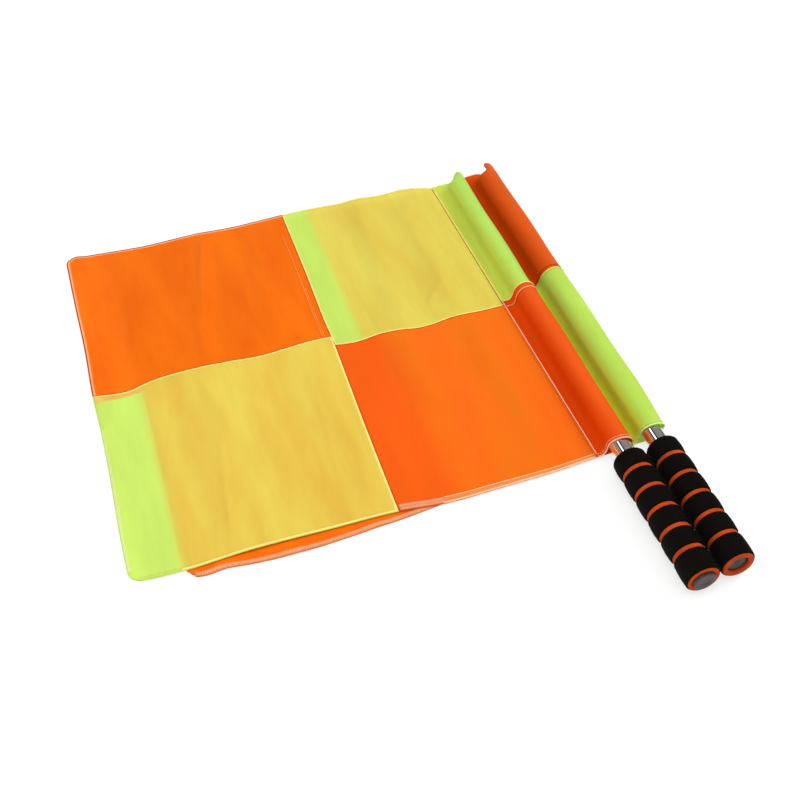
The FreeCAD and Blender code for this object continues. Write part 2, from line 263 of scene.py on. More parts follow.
# Soft folds: start and end in plan, half width, height
UPPER_FOLDS = [
    ((141, 418), (113, 236), 2.6, 0.5), ((186, 400), (168, 300), 2.8, -0.35),
    ((100, 144), (88, 6), 2.4, 0.3), ((66, 160), (58, 60), 5, 0.4), ((196, 150), (190, 20), 4, 0.4),
    ((327, 239), (360, 262), 2.6, 0.45), ((139, 420), (110, 232), 7, 1.1),
    ((151, 420), (124, 232), 8, -0.8), ((60, 425), (52, 240), 20, 0.9), ((196, 430), (186, 245), 13, 1.0),
    ((92, 425), (86, 245), 12, -0.6), ((222, 425), (214, 245), 9, -0.6),
    ((262, 432), (250, 236), 10, 0.8), ((300, 440), (284, 232), 12, -1.1),
    ((323, 440), (306, 232), 10, 1.3), ((350, 438), (334, 232), 12, -1.2),
    ((374, 436), (362, 232), 9, 1.4), ((396, 430), (388, 240), 8, -0.9), ((330, 236), (362, 266), 5, 0.6),
    ((100, 208), (114, 120), 7, 0.8), ((128, 214), (150, 70), 10, 0.9), ((102, 140), (90, 6), 4, 0.45),
    ((387, 414), (401, 304), 3.0, 0.45), ((168, 214), (182, 30), 14, -0.8),
    ((206, 210), (214, 20), 10, 0.7), ((72, 205), (64, 20), 9, -0.7), ((28, 205), (24, 15), 12, 0.6),
    ((256, 205), (246, 20), 10, 0.9), ((276, 205), (262, 20), 8, -0.8), ((304, 208), (300, 100), 14, 1.5),
    ((332, 130), (326, 10), 13, 1.3), ((352, 210), (348, 120), 12, -1.1),
    ((374, 205), (372, 15), 14, 1.3), ((398, 200), (402, 20), 8, -0.8),
]
LOWER_FOLDS = [
    ((70, -12), (84, 40), 12, 0.8), ((130, -15), (138, 40), 14, 0.9), ((200, -12), (206, 40), 12, 0.7),
    ((440, 300), (442, 60), 8, 0.3),
]


def fold_height(folds, x, y):
    """The folds' height over the plain lie of the cloth."""
    total = np.zeros_like(x)
    for (x0, y0), (x1, y1), width, height in folds:
        run = math.hypot(x1 - x0, y1 - y0)
        tx, ty = (x1 - x0) / run, (y1 - y0) / run
        along = ((x - x0) * tx + (y - y0) * ty) / run
        off = (x - x0) * ty - (y - y0) * tx
        off = off + 2.5 * np.sin(along * 5 + x0)
        fade = smooth((along + 0.12) / 0.24) * smooth((1.12 - along) / 0.24)
        total += height * np.exp(-(off / width) ** 2) * fade
    return total


def ripple(x, y, size, seed):
    """Slow unevenness between -1 and 1."""
    a = np.sin(x / size * 1.7 + seed) * np.cos(y / size * 1.1 + 2.1 * seed)
    b = np.sin((x * 0.6 + y * 0.8) / size * 2.3 + 3.3 * seed) * 0.6
    c = np.sin((x * 0.9 - y * 0.45) / size * 3.1 + 0.7 * seed) * 0.4
    return (a + b + c) / 2


def upper_base(x, y):
    """The plain lie of the upper flag, between its edges and its cross seam."""
    far = spline(UPPER_HIGH["far"], x)
    cross = spline(UPPER_HIGH["cross"], x)
    near = spline(UPPER_HIGH["near"], x)
    low = smooth(y / MID_Y)
    high = smooth((y - MID_Y) / (FAR_Y - MID_Y))
    return np.where(y < MID_Y, near * (1 - low) + cross * low, cross * (1 - high) + far * high)


def upper_height(x, y):
    """Height of the upper flag's field."""
    x, y = np.broadcast_arrays(np.asarray(x, float), np.asarray(y, float))
    base = upper_base(x, y)
    # the folds run out at the fly edge and the sleeve, and are plainer near the other edges and seams
    margin = smooth(x / 14) * smooth((WIDTH - 2 - x) / 14)
    away = np.minimum(np.minimum(np.abs(y - FAR_Y), np.abs(y - SEAM_Y)), np.abs(y - NEAR_Y))
    gain = 1 + (FOLD_GAIN - 1) * smooth((away - 4) / 34)
    folds = fold_height(UPPER_FOLDS, x, y) * gain + 0.28 * ripple(x, y, 46, 1.0) + 0.1 * ripple(x, y, 17, 2.0)
    lowest = 0.45 + 0.85 * smooth((x - 38) / 12)
    return np.maximum(base + folds * margin, lowest)


def lower_height(x, y):
    """Height of the lower flag's field, always under the upper flag."""
    x, y = np.broadcast_arrays(np.asarray(x, float), np.asarray(y, float))
    # it rises with the upper flag's ridges, by a good third of their height, and less at its near edge
    under = upper_base(np.clip(x, 0, WIDTH), np.clip(y, 0, FAR_Y))
    lift = 0.35 + 0.38 * np.maximum(under - 1.2, 0) * smooth((440 - x) / 40)
    edge = smooth((y + 16) / 20)
    lift = lift * (0.35 + 0.65 * edge) + 0.12
    lift += np.maximum(fold_height(LOWER_FOLDS, x, y), 0) * FOLD_GAIN * smooth((-2 - y) / 6)
    # it is level beside its own sleeve
    tail = smooth((x - WIDTH) / 20)
    lift = lift * (1 - tail) + 0.75 * tail
    # where the upper flag covers it, it stays clear of that flag's underside
    covered = smooth((y + 7) / 5) * smooth((WIDTH + 4 - x) / 4) * smooth((x - 34) / 8)
    room = upper_height(np.clip(x, 0, WIDTH), np.clip(y, -6, HOIST)) - 1.15
    return np.where(covered > 0.02, np.minimum(lift, np.maximum(room, 0.4)), lift)


# Plan of the two flags

# Rows and columns are (place, value) knots. jog is where the far centre seam starts and the near one
# ends. Of the sleeve, join_y is where its colours meet and sag how far that joint droops (everywhere,
# on the crest), near_slack and far_slack are its room round the tube, mouth and end_y say where its
# ends lie along Y by share of its section, and far_end is the fallen section at its far end.
UPPER = {
    "name": "upper", "base": 1.5, "height": upper_height, "fly_x": 0.0, "seam_x": WIDTH,
    "fly": [(-6, 0.9), (42, 0.3), (110, 1.2), (173, 1.0), (219, -0.4), (286, 0.3), (350, -0.8), (436, -1.6)],
    "centre_far": [(216, 233.2), (229, 232.8), (330, 234.4), (444, 235.3)],
    "centre_near": [(-8, 227.0), (97, 229.2), (216, 233.0)],
    "far": [(-3, 434.6), (5, 435.2), (10, 436.4), (16, 434.6), (36, 432.4), (66, 430.3), (100, 431.5),
            (138, 433.5), (187, 432.6), (236, 435.2), (293, 436.2), (353, 437.2), (398, 438.4), (413, 435.5)],
    "cross_fly": [(-2, 218.1), (36, 214.9), (48, 217.6), (60, 219.7), (98, 222.0), (127, 222.4), (159, 221.7),
                  (191, 223.5), (212, 225.3), (233, 225.5)],
    "cross_hoist": [(231, 212.6), (253, 211.4), (281, 214.0), (301, 213.3), (317, 212.2), (332, 212.7),
                    (353, 214.8), (386, 215.5), (414, 217.4)],
    "near": [(-2, -2.2), (6.8, -4.1), (43.5, -6.2), (96, -4.1), (168, -3.1), (228, -3.2), (267, -6.9),
             (318, -5.7), (376, -3.4), (413, -0.1)],
    "jog": (213.0, 225.0), "mouth_y": 0.0, "last_y": HOIST, "join_y": 223.5, "sag": (0.8, 2.0),
    "near_slack": 0.6, "far_slack": 0.0,
    "mouth": [(0, 0.0), (0.2, -1.5), (0.36, -4.5), (0.5, -4.6), (0.62, -2.0), (0.8, 0.5), (1, 0.5)],
    "far_end": [(412, 2.9), (416, 3.0), (422.9, 3.4), (430, 2.9), (434.6, 2.9), (437.6, 4.8), (439.6, 10),
                (441.2, 14.6), (443.6, 16.5), (445.6, 16.2), (448.7, 13.4), (451.3, 9.2), (453.2, 5.2),
                (452.6, 2.6), (450, 1.6), (440, 1.5), (412, 1.5)],
    "end_y": [(0, 436.0), (0.2, 438.0), (0.45, 438.6), (0.62, 438.0), (1, 437.0)],
}
LOWER = {
    "name": "lower", "base": 0.0, "height": lower_height, "fly_x": 44.0, "seam_x": 448.0,
    "fly": [(-17, 52.0), (-12, 48.0), (-4, 46.0), (60, 44.6), (150, 45.2), (222, 44.2), (330, 44.8),
            (430, 44.0)],
    "centre_far": [(216, 255.0), (222, 254.5), (330, 260.0), (436, 265.5)],
    "centre_near": [(-14, 263.5), (60, 267.5), (130, 275.0), (216, 277.0)],
    "far": [(42, 426.5), (66, 427.0), (100, 427.5), (187, 428.5), (293, 431.0), (353, 431.5), (410, 433.5),
            (449, 440.0)],
    "cross_fly": [(42, 221.0), (90, 223.0), (160, 222.0), (258, 222.0), (280, 222.0)],
    "cross_hoist": [(252, 220.0), (300, 221.0), (360, 222.0), (420, 226.0), (450, 231.0)],
    "near": [(44, -9.5), (50, -13.5), (56, -15.2), (80, -14.4), (96, -16.0), (137, -17.5), (181, -14.8),
             (226, -10.9), (268, -5.6), (300, -2.0), (350, 0.0), (400, 2.0), (449, 4.0)],
    "jog": (222.0, 220.0), "mouth_y": 5.0, "last_y": 441.0, "join_y": 234.6, "sag": (0.0, 2.2),
    "near_slack": 2.3, "far_slack": 2.3,
    "mouth": [(0, 4.0), (0.2, 3.0), (0.34, 0.6), (0.46, 1.0), (0.58, 5.0), (0.68, 6.5), (0.8, 5.5), (1, 5.0)],
    "far_end": [(448, 4.6), (452, 5.0), (457.5, 5.7), (463, 6.4), (469.1, 6.3), (474, 4.9), (477.6, 4.2),
                (480.2, 6.6), (481.2, 9.8), (480.0, 12.6), (478.0, 14.8), (477.3, 17.0), (478.8, 18.6),
                (481.2, 18.9), (483.9, 17.9), (487, 14.7), (489.8, 11.2), (491.6, 7.8), (491.8, 4.0),
                (489.5, 1.2), (484, 0.3), (470, 0.1), (448, 0.1)],
    "end_y": [(0, 440.0), (0.2, 441.0), (0.45, 441.5), (0.62, 441.0), (1, 440.5)],
}


def quarter_grid(flag, side, half):
    """Upper surface of one quarter. side is fly or hoist, half is near or far."""
    cross = flag["cross_" + side]
    low_row, high_row = (cross, flag["far"]) if half == "far" else (flag["near"], cross)
    centre = flag["centre_" + half]
    centre_x = float(spline(centre, MID_Y))
    left_x, right_x = centre_x, flag["seam_x"]
    if side == "fly":
        left_x, right_x = float(spline(flag["fly"], MID_Y)), centre_x
    depth_y = abs((FAR_Y if half == "far" else NEAR_Y) - MID_Y)
    u = np.linspace(0, 1, int((right_x - left_x) / GRID_STEP))[:, None]
    v = np.linspace(0, 1, int(depth_y / GRID_STEP))[None, :]
    x_guess = right_x - (1 - u) * (right_x - left_x)
    y_guess = spline(low_row, x_guess) * (1 - v) + spline(high_row, x_guess) * v
    if side == "fly":
        corner_y = spline(flag[half], x_guess[:1])
        depth = np.clip(CORNER - np.abs(y_guess - corner_y), 0, CORNER)
        left = spline(flag["fly"], y_guess) + CORNER - np.sqrt(np.maximum(CORNER**2 - depth**2, 0))
        right = spline(centre, y_guess)
    else:
        left = spline(centre, y_guess)
        right = np.full_like(y_guess, flag["seam_x"] + 1.0)
    x = left * (1 - u) + right * u
    y = spline(low_row, x) * (1 - v) + spline(high_row, x) * v
    # sewing draws the cloth into small puckers along the joins
    seam_far = np.minimum(np.abs(y - spline(low_row, x)), np.abs(y - spline(high_row, x)))
    pucker = np.exp(-seam_far / 7.0) * np.sin(x / 1.75 + 2.2 * np.sin(x / 31.0))
    seam_side = np.abs(x - right)
    if side == "hoist":
        seam_side = np.minimum(np.abs(x - left), seam_side)
    pucker_side = np.exp(-seam_side / 6.0) * np.sin(y / 1.9 + 2.0 * np.sin(y / 27.0))
    z = flag["height"](x, y) + 0.11 * pucker + 0.09 * pucker_side
    return np.stack([x, y, z], axis=2)


def on_field(flag, plan, lift):
    """Points of a plan line on the field, lifted, and the normals there."""
    xs, ys = np.asarray(plan, float).T
    height = flag["height"]
    reach = 1.0
    gx = (height(xs + reach, ys) - height(xs - reach, ys)) / (2 * reach)
    gy = (height(xs, ys + reach) - height(xs, ys - reach)) / (2 * reach)
    normals = unit(np.stack([-gx, -gy, np.ones_like(gx)], axis=1))
    return np.stack([xs, ys, height(xs, ys)], axis=1) + normals * lift, normals


def strip_grid(flag, inner, outer, drop):
    """A narrow band of cloth between two plan lines, drop millimetres under the field's surface."""
    rows = []
    for t in np.linspace(0, 1, 5):
        line = inner * (1 - t) + outer * t
        z = flag["height"](line[:, 0], line[:, 1]) - drop
        rows.append(np.column_stack([line, np.maximum(z, 0.04 + CLOTH)]))
    return np.stack(rows, axis=0)


def run_x(row, x0, x1, offset=0.0):
    """Plan points along a row of the flag, moved across it by offset."""
    xs = np.linspace(x0, x1, max(int(abs(x1 - x0) / LINE_STEP), 4))
    return np.column_stack([xs, spline(row, xs) + offset])


def run_y(column, y0, y1, offset=0.0):
    """The same along a column, such as the fly edge or the centre seam."""
    ys = np.linspace(y0, y1, max(int(abs(y1 - y0) / LINE_STEP), 4))
    return np.column_stack([spline(column, ys) + offset, ys])


# Poles and sleeves

def pole_axis(name):
    """Butt and direction of a pole, read from its joint on the frame."""
    joint = [j for j in frame["record"]["behaviour"]["joints"] if j["name"] == name + "_pole_turn"][0]
    return np.array(joint["pos_m"]) * MM + SHIFT, unit(np.array(joint["axis"], float))


AXES = {name: pole_axis(name) for name in ("upper", "lower")}


def axis_at(flag, y):
    """The pole's middle at y, as (x, z)."""
    butt, way = AXES[flag["name"]]
    reach = (y - butt[1]) / way[1]
    return butt[0] + reach * way[0], butt[2] + reach * way[2]


def hugging_section(flag, y, slack):
    """The sleeve's outside at y in (x, z), from the seam over the pole and back under it."""
    cx, cz = axis_at(flag, y)
    cx += slack
    radius = TUBE + 0.75 + slack
    base = flag["base"]
    top = base + 1.2
    lean = math.radians(7)  # the cloth leaves the tube a little above its side
    touch = np.array([cx - radius * math.cos(lean), cz + radius * math.sin(lean)])
    foot_x = touch[0] - 1.6
    seam = flag["seam_x"]
    points = [(seam, top), (seam + 0.45 * (foot_x - seam), top + 0.15), (foot_x - 2.2, top + 0.35),
              (foot_x - 0.3, top + 2.2), (touch[0] - 0.35, top + 6.0)]
    for angle in np.linspace(math.pi - lean, 0, 22):
        points.append((cx + radius * math.cos(angle), cz + radius * math.sin(angle)))
    side = cx + radius
    points += [(side + 0.5, cz - 0.35 * (cz - base)), (side + 0.9, base + 4.5), (side + 0.2, base + 1.8),
               (side - 2.2, base + 0.35), (side - 8, base + 0.05), (seam + 12, base), (seam, base)]
    return rounded(points, SECTION, 2)


def sleeve_grid(flag, y0, y1):
    """Outer surface of the sleeve between the stations y0 and y1."""
    far = rounded(flag["far_end"], SECTION, 2)
    share = np.linspace(0, 1, SECTION)
    mouth = spline(flag["mouth"], share)
    end = spline(flag["end_y"], share)
    count = max(int((y1 - y0) / SLEEVE_STEP), 8)
    stations = np.linspace(y0, y1, count)
    tip_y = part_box(flag["name"] + "_pole_tube")[1][1] * MM + SHIFT[1]
    last = flag["last_y"]
    if y1 == last:
        stations = np.concatenate([np.linspace(y0, tip_y - 3, count), np.linspace(tip_y - 1, y1, 24)])
    rows = []
    for y in stations:
        # from the near cloth's room to the far cloth's, less towards the mouth, and slowly uneven
        split = smooth((y - flag["join_y"] + 14) / 28)
        slack = flag["near_slack"] * (1 - split) + flag["far_slack"] * split
        slack *= 1 - 0.55 * smooth((70 - y) / 75)
        slack += 0.22 + 0.22 * math.sin(y / 23.0 + flag["base"])
        section = hugging_section(flag, min(y, last), slack)
        # past the pole's tip the cloth falls to its far section
        fall = smooth((y - tip_y - 0.8) / (last - tip_y - 0.8))
        section = section * (1 - fall) + far * fall
        pull_near = smooth((END_PULL - y) / END_PULL)
        pull_far = smooth((y - HOIST + END_PULL) / END_PULL)
        ys = y + (mouth - flag["mouth_y"]) * pull_near + (end - last) * pull_far
        sag = smooth((y - flag["join_y"] + 14) / 12) * smooth((flag["join_y"] + 26 - y) / 24)
        ys = ys - sag * (flag["sag"][0] + flag["sag"][1] * smooth((share - 0.08) / 0.2))
        rows.append(np.column_stack([section[:, 0], ys, section[:, 1]]))
    return np.stack(rows, axis=1)


def sleeve_line(grid, y, lift):
    """The line over the sleeve at a station, from the seam to the outer side, with normals."""
    j = int(np.argmin(np.abs(grid[SECTION // 3, :, 1] - y)))
    span = slice(int(0.02 * SECTION), int(0.62 * SECTION))
    normal = grid_normals(grid)[span, j]
    return grid[span, j] + normal * lift, normal


def revolve(profile, name, wobble=0.0):
    """A body of revolution about a pole's axis from (radius, place along the pole) points.

    A profile that ends where it starts makes a ring, any other gets two end faces. The wobble
    is for the foam's outer skin alone.
    """
    butt, way = AXES[name]
    side = unit(np.cross(way, [0, 0, 1.0]))
    up = np.cross(side, way)
    angles = np.linspace(0, 2 * math.pi, SIDES, endpoint=False)
    closed = np.allclose(profile[0], profile[-1])
    rings = profile[:-1] if closed else profile
    verts = []
    for k, (radius, place) in enumerate(rings):
        r = radius + wobble * np.sin(angles * 3 + k * 0.4 + place) * (radius > 12)
        ring = np.outer(np.cos(angles) * r, side) + np.outer(np.sin(angles) * r, up)
        verts.append(butt + way * place + ring)
    return np.concatenate(verts), skin(len(rings), SIDES, closed)


# Materials

def node(tree, kind, sockets=None, **settings):
    """A shader node with its sockets linked or set."""
    made = tree.nodes.new(kind)
    for key, value in settings.items():
        setattr(made, key, value)
    for key, value in (sockets or {}).items():
        if isinstance(value, bpy.types.NodeSocket):
            tree.links.new(value, made.inputs[key])
        else:
            made.inputs[key].default_value = value
    return made


def new_material(name):
    """A material, its tree, its output and its places on the object."""
    material = bpy.data.materials.new(name)
    material.use_nodes = True
    tree = material.node_tree
    tree.nodes.clear()
    out = node(tree, "ShaderNodeOutputMaterial")
    place = node(tree, "ShaderNodeTexCoord").outputs["Object"]
    return material, tree, out, place


def rgba(colour):
    return (*colour, 1.0)


def scaled(colour, factor):
    return tuple(min(1.0, c * factor) for c in colour)


def noise(tree, place, scale, detail, **sockets):
    sockets = {"Vector": place, "Scale": scale, "Detail": detail, **sockets}
    return node(tree, "ShaderNodeTexNoise", sockets).outputs["Fac"]


def ranged(tree, value, low, high, start=0.0, end=1.0, **settings):
    """The value between start and end, moved to between low and high."""
    sockets = {"Value": value, "From Min": start, "From Max": end, "To Min": low, "To Max": high}
    return node(tree, "ShaderNodeMapRange", sockets, **settings).outputs["Result"]


def combined(tree, operation, first, second):
    return node(tree, "ShaderNodeMath", {0: first, 1: second}, operation=operation).outputs[0]


def bumped(tree, height, strength, distance, **sockets):
    sockets = {"Height": height, "Strength": strength, "Distance": distance, **sockets}
    return node(tree, "ShaderNodeBump", sockets).outputs["Normal"]


def mixed(tree, factor, before, after):
    """A blend of two colours, each a colour or a socket."""
    return node(tree, "ShaderNodeMix", {"Factor": factor, 6: before, 7: after}, data_type="RGBA").outputs[2]


def varied(tree, place, colour, scale, low, high, other=None):
    """The colour, unevenly a little darker and lighter, or blending into another."""
    uneven = ranged(tree, noise(tree, place, scale, 4.0, Roughness=0.6), 0.0, 1.0, 0.3, 0.7)
    return mixed(tree, uneven, rgba(scaled(colour, low)), rgba(scaled(other or colour, high))), uneven


def tint_along(tree, place, axis, start, end, before, after):
    """One colour before start and another after end, along an axis of the plan."""
    split = node(tree, "ShaderNodeSeparateXYZ", {"Vector": place})
    shift = SHIFT["XY".index(axis)]
    step = ranged(tree, split.outputs[axis], 0.0, 1.0, (start - shift) / MM, (end - shift) / MM,
                  interpolation_type="SMOOTHSTEP")
    return mixed(tree, step, before, after)


def weave(tree, place, crinkle):
    """Plain weave with a fine crinkle on top: its normal and the height of its threads."""
    pitch = 0.00042
    sockets = {"Vector": place, "Scale": 2 * math.pi / (20 * pitch), "Distortion": 0.6}
    bands = [node(tree, "ShaderNodeTexWave", sockets, bands_direction=way).outputs["Fac"] for way in "XY"]
    threads = combined(tree, "MULTIPLY", *bands)
    fine = bumped(tree, threads, 0.25, 0.00008)
    folds = noise(tree, place, 120.0, 5.0, Roughness=0.62, Distortion=0.5)
    return bumped(tree, folds, crinkle, 0.0007, Normal=fine), threads


def cloth(name, face, through, clear, glow, through_and_light_tint=None, other=None, crinkle=0.35, seam=None, sheen=0.03):
    """Thin woven nylon: some light goes straight through, some glows through and the rest is reflected.

    The tint along X and the seam tint along Y are (start, end, colour): the face turns to that colour along X
    or Y.
    On the fields that is where the other flag shows through, as on the upper sleeve's far half; on the other
    three sleeve halves it is painted light and painted shade across the sleeve. other is the second colour of
    the face's streaking, which is partly uneven tone and partly painted shade and light of soft folds.
    """
    material, tree, out, place = new_material(name)
    # The face is streaked lighter and darker along Y: uneven tone, and painted shade and painted light of the
    # cloth's soft folds.
    streaks = node(tree, "ShaderNodeMapping", {"Vector": place, "Scale": (1.8, 0.4, 1.0)}).outputs[0]
    colour, uneven = varied(tree, streaks, face, 16.0, 0.89, 1.05, None if through_and_light_tint else other)
    if seam:
        start, end, shade = seam
        colour = tint_along(tree, place, "Y", start, end, colour, rgba(shade))
    # Along X the face turns to a second colour: on the fields where the other flag shows through, and on
    # three sleeve halves as painted light and painted shade.
    if through_and_light_tint:
        start, end, shade = through_and_light_tint
        shade, _ = varied(tree, streaks, shade, 11.0, 0.90, 1.05, other)
        colour = tint_along(tree, place, "X", start, end, colour, shade)
    normal, threads = weave(tree, place, crinkle)
    solid = node(tree, "ShaderNodeBsdfPrincipled", {
        "Base Color": colour, "Roughness": ranged(tree, threads, 0.44, 0.58), "Specular IOR Level": 0.07,
        "Sheen Weight": sheen, "Sheen Roughness": 0.3, "Sheen Tint": (1.0, 0.95, 0.6, 1.0), "Normal": normal})
    back = node(tree, "ShaderNodeBsdfTranslucent", {"Color": colour, "Normal": normal})
    body = node(tree, "ShaderNodeMixShader", {0: glow, 1: solid.outputs[0], 2: back.outputs[0]})
    hole = node(tree, "ShaderNodeBsdfTransparent", {"Color": rgba(through)})
    share = ranged(tree, uneven, clear - 0.02, clear + 0.02)
    whole = node(tree, "ShaderNodeMixShader", {0: share, 1: body.outputs[0], 2: hole.outputs[0]})
    tree.links.new(whole.outputs[0], out.inputs["Surface"])
    return material


def opaque(name, colour, rough, scale, bump, bump_scale, specular, sheen=0.0):
    """A moulded or twisted surface with grain."""
    material, tree, out, place = new_material(name)
    tone, uneven = varied(tree, place, colour, scale, 0.88, 1.08)
    grain = noise(tree, place, bump_scale, 6.0, Roughness=0.65)
    shader = node(tree, "ShaderNodeBsdfPrincipled", {
        "Base Color": tone, "Roughness": ranged(tree, uneven, rough - 0.07, rough + 0.07),
        "Specular IOR Level": specular, "Sheen Weight": sheen, "Normal": bumped(tree, grain, bump, 0.0002)})
    tree.links.new(shader.outputs[0], out.inputs["Surface"])
    return material


def thread(name, colour, rough, specular=0.5, sheen=0.0):
    """Twisted thread, narrow rims of folds and cords of painted shadow and shade."""
    return opaque(name, colour, rough, 60.0, 0.4, 1800.0, specular, sheen)


def foam_material(name, colour):
    """Closed-cell foam: pores with painted shade in them, a rubbed skin and an uneven tone."""
    material, tree, out, place = new_material(name)
    tone, uneven = varied(tree, place, colour, 90.0, 0.8, 1.25)
    pores = node(tree, "ShaderNodeTexVoronoi", {"Vector": place, "Scale": 1500.0}).outputs["Distance"]
    # The pores are painted darker than the foam: painted shade in them, also used as their depth.
    pore_depth_and_shade = ranged(tree, pores, 0.0, 1.0, 0.0, 0.45)
    rubbed = bumped(tree, noise(tree, place, 240.0, 5.0), 0.3, 0.0008)
    shader = node(tree, "ShaderNodeBsdfPrincipled", {
        "Base Color": mixed(tree, pore_depth_and_shade, rgba(scaled(colour, 0.55)), tone),
        "Roughness": ranged(tree, uneven, 0.84, 0.97), "Specular IOR Level": 0.1,
        "Normal": bumped(tree, pore_depth_and_shade, 0.45, 0.00025, Normal=rubbed)})
    tree.links.new(shader.outputs[0], out.inputs["Surface"])
    return material


def chrome_material():
    """Bright plating with fine draw lines along the tube and a few dull specks."""
    material, tree, out, place = new_material("bright_plating")
    tone, _ = varied(tree, place, (0.86, 0.84, 0.84), 24.0, 0.93, 1.03)
    stretched = node(tree, "ShaderNodeMapping", {"Vector": place, "Scale": (900.0, 12.0, 900.0)}).outputs[0]
    specks = noise(tree, place, 420.0, 3.0, Roughness=0.7)
    shader = node(tree, "ShaderNodeBsdfPrincipled", {
        "Base Color": tone, "Metallic": 1.0, "Roughness": ranged(tree, specks, 0.05, 0.16, 0.62, 0.75),
        "Normal": bumped(tree, noise(tree, stretched, 1.0, 4.0), 0.03, 0.0001)})
    tree.links.new(shader.outputs[0], out.inputs["Surface"])
    return material


YELLOW = {"face": (0.69, 0.88, 0.17), "through": (0.93, 1.0, 0.75), "clear": 0.18, "glow": 0.22}
ORANGE = {"through": (1.0, 0.85, 0.5), "clear": 0.1, "glow": 0.2}
SLEEVE_YELLOW = {"through": (0.85, 0.95, 0.6), "clear": 0.13, "crinkle": 0.5}
SLEEVE_ORANGE = {"through": (1.0, 0.75, 0.4), "clear": 0.12, "glow": 0.3, "crinkle": 0.5}
TURNED = {"through": (1.0, 0.8, 0.5), "glow": 0.2, "crinkle": 0.5}

cloth_yellow = cloth("nylon_yellow", **YELLOW)
cloth_yellow_far = cloth("nylon_yellow_far", **YELLOW, through_and_light_tint=(256, 267, (0.89, 0.675, 0.095)),
                         other=(0.82, 0.765, 0.14))
cloth_yellow_near = cloth("nylon_yellow_near", **YELLOW, through_and_light_tint=(37.5, 51, (0.95, 0.62, 0.08)),
                          other=(0.87, 0.74, 0.125), seam=(207.0, 208.6, (0.92, 0.62, 0.13)))
cloth_orange = cloth("nylon_orange", (1.0, 0.163, 0.0), **ORANGE, other=(1.0, 0.2, 0.002))
cloth_orange_near = cloth("nylon_orange_near", (1.0, 0.135, 0.005), **ORANGE,
                          through_and_light_tint=(264, 300, (1.0, 0.23, 0.006)), other=(1.0, 0.16, 0.008))
sleeve_yellow = cloth("nylon_yellow_sleeve", (0.80, 0.89, 0.125), glow=0.35, sheen=0.35, **SLEEVE_YELLOW,
                      through_and_light_tint=(421, 437, (0.63, 0.91, 0.18)))
# The lower sleeve's near half is painted lighter on its flat part beside the seam: painted light against the
# shade under the upper sleeve.
sleeve_yellow_low = cloth("nylon_yellow_sleeve_low", (0.88, 1.0, 0.07), glow=0.4, **SLEEVE_YELLOW,
                          through_and_light_tint=(452, 461, (0.69, 0.90, 0.16)))
# The upper sleeve's near half is painted lighter from the top of its tube to its outer fold: painted light on
# the side of the key lamp.
sleeve_orange = cloth("nylon_orange_sleeve", (0.98, 0.092, 0.0), **SLEEVE_ORANGE,
                      through_and_light_tint=(419, 434, (0.95, 0.14, 0.012)))
# The lower sleeve's far half is painted darker on its flat part beside the seam and lighter from the top of
# its tube to its outer fold: painted shade under the upper sleeve and painted light on the side of the key
# lamp.
sleeve_orange_low = cloth("nylon_orange_sleeve_low", (0.80, 0.085, 0.0), **SLEEVE_ORANGE,
                          through_and_light_tint=(458, 476, (0.86, 0.14, 0.012)))
# The yellow hems are painted far paler than the yellow cloth: painted light that cancels the shade where the
# cloth lies doubled.
hem_yellow = cloth("nylon_yellow_hem", (1.0, 1.0, 0.5), YELLOW["through"], 0.3, 0.3)
hem_peach = cloth("nylon_turned_hem", (0.93, 0.30, 0.10), clear=0.1, **TURNED)
overlock_cloth = cloth("overlocked_edge", (1.0, 0.33, 0.12), clear=0.08, **TURNED)
pale_yellow = thread("binding_pale_yellow", (0.88, 0.70, 0.18), 0.7, sheen=0.1)
pale_pink = thread("thread_pale_pink", (0.95, 0.36, 0.15), 0.7, sheen=0.1)
rim_pink = thread("mouth_rim_pink", (1.0, 0.48, 0.30), 0.7, sheen=0.1)
rim_lime = thread("mouth_rim_lime", (0.70, 0.90, 0.34), 0.7, sheen=0.1)
# The next two are cords of painted shadow and painted shade: a dark one along the seams, the far rolled edge
# and the sleeves' seam and joint, and a redder one along hems and beside the upper sleeve's seam.
painted_shadow_orange = thread("painted_seam_shadow", (0.34, 0.05, 0.0), 0.9, specular=0.04)
seam_shade = thread("hem_shade", (0.70, 0.10, 0.008), 0.9, specular=0.04)
thread_orange = thread("thread_orange", (1.0, 0.40, 0.12), 0.8, specular=0.1)
edge_peach = thread("edge_peach", (0.97, 0.50, 0.27), 0.8, specular=0.1)
fold_peach = thread("fold_peach", (1.0, 0.47, 0.17), 0.8, specular=0.1)
edge_lime = thread("edge_lime", (0.56, 0.78, 0.13), 0.8, specular=0.1)
edge_pink = thread("rolled_hem_pink", (1.0, 0.35, 0.13), 0.7, sheen=0.1)
edge_orange = thread("cut_edge_orange", (0.85, 0.2, 0.06), 0.8)
overlock = thread("overlock_thread", (1.0, 0.53, 0.28), 0.75, sheen=0.1)
foam_black = foam_material("foam_black", (0.0039, 0.0025, 0.0019))
foam_orange = foam_material("foam_orange", (0.46, 0.055, 0.009))
plug_grey = opaque("plug_grey", (0.036, 0.019, 0.021), 0.45, 40.0, 0.12, 900.0, specular=0.5)
chrome = chrome_material()

# Fields, hems and seam allowances

QUARTERS = (("far", "fly"), ("near", "fly"), ("far", "hoist"), ("near", "hoist"))
HEM_CLOTH = {"orange": cloth_orange, "yellow": hem_yellow}


def sewn(flag, name, shape, material, nodes=()):
    """A piece of the flag's cloth or thread."""
    return add_mesh(name, shape, material, flag["name"] + "_flag", nodes)


def cord(flag, name, points, normals, width, height, material, slot="hem"):
    """A thread or a rim along points that lie on the flag."""
    return sewn(flag, name, ring_tube(points, normals, width, height), material)


def trim(flag, name, plan, lift, width, height, material, slot="hem"):
    """The same along a plan line on the field."""
    return cord(flag, name, *on_field(flag, plan, lift), width, height, material, slot)


